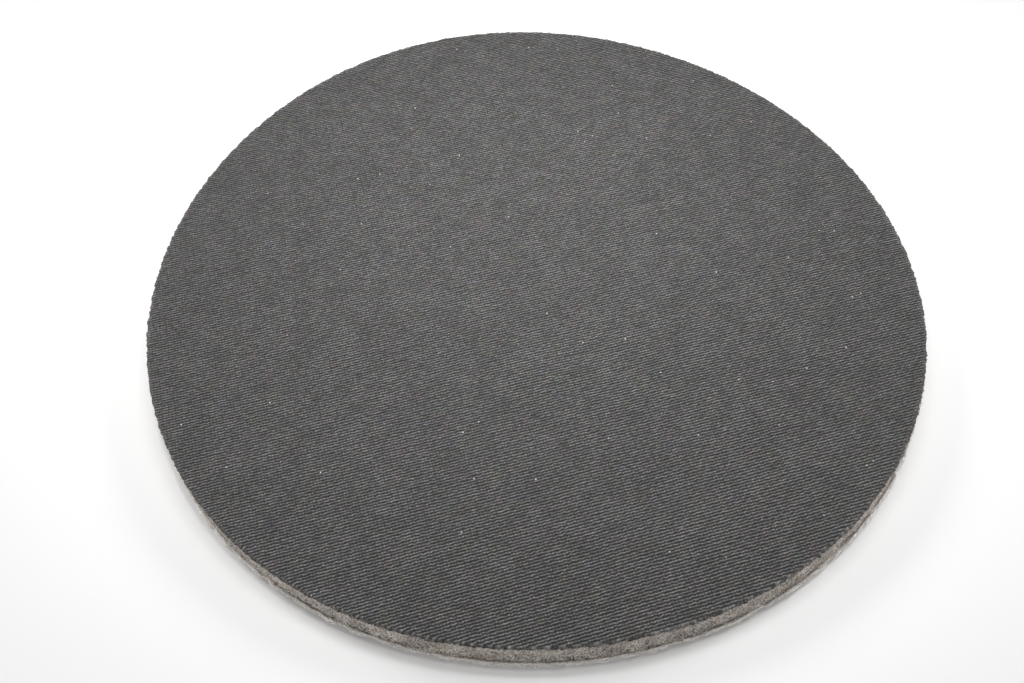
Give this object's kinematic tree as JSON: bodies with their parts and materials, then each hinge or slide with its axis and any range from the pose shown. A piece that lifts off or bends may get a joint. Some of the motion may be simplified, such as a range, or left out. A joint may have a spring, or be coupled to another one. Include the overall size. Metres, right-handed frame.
{
  "type": "foam-backed abrasive finishing pad",
  "caption": "Round soft polishing pad: a grain-coated knitted face on a thin open-cell foam core, with a loop back that a hook-faced backing plate carries.",
  "frame": {"origin": "centre of the loop side, on the surface the pad rests on", "axes": "+Z out of the abrasive face, through the pad's centre; +X and +Y lie in the plane of the pad"},
  "size_m": [0.1506, 0.1506, 0.0063],
  "materials": {
    "loop_pile": "matte",
    "ground_cloth": "matte",
    "bond_film": "satin",
    "foam": "matte",
    "face_knit": "matte",
    "grain_coat": "matte"
  },
  "bodies": {
    "root": {"grip_loop_pile": "loop_pile", "grip_ground_cloth": "ground_cloth", "grip_bond_film": "bond_film", "foam_core": "foam", "face_bond_film": "bond_film", "knit_face_cloth": "face_knit", "abrasive_grain_coat": "grain_coat"}
  },
  "joints": []
}
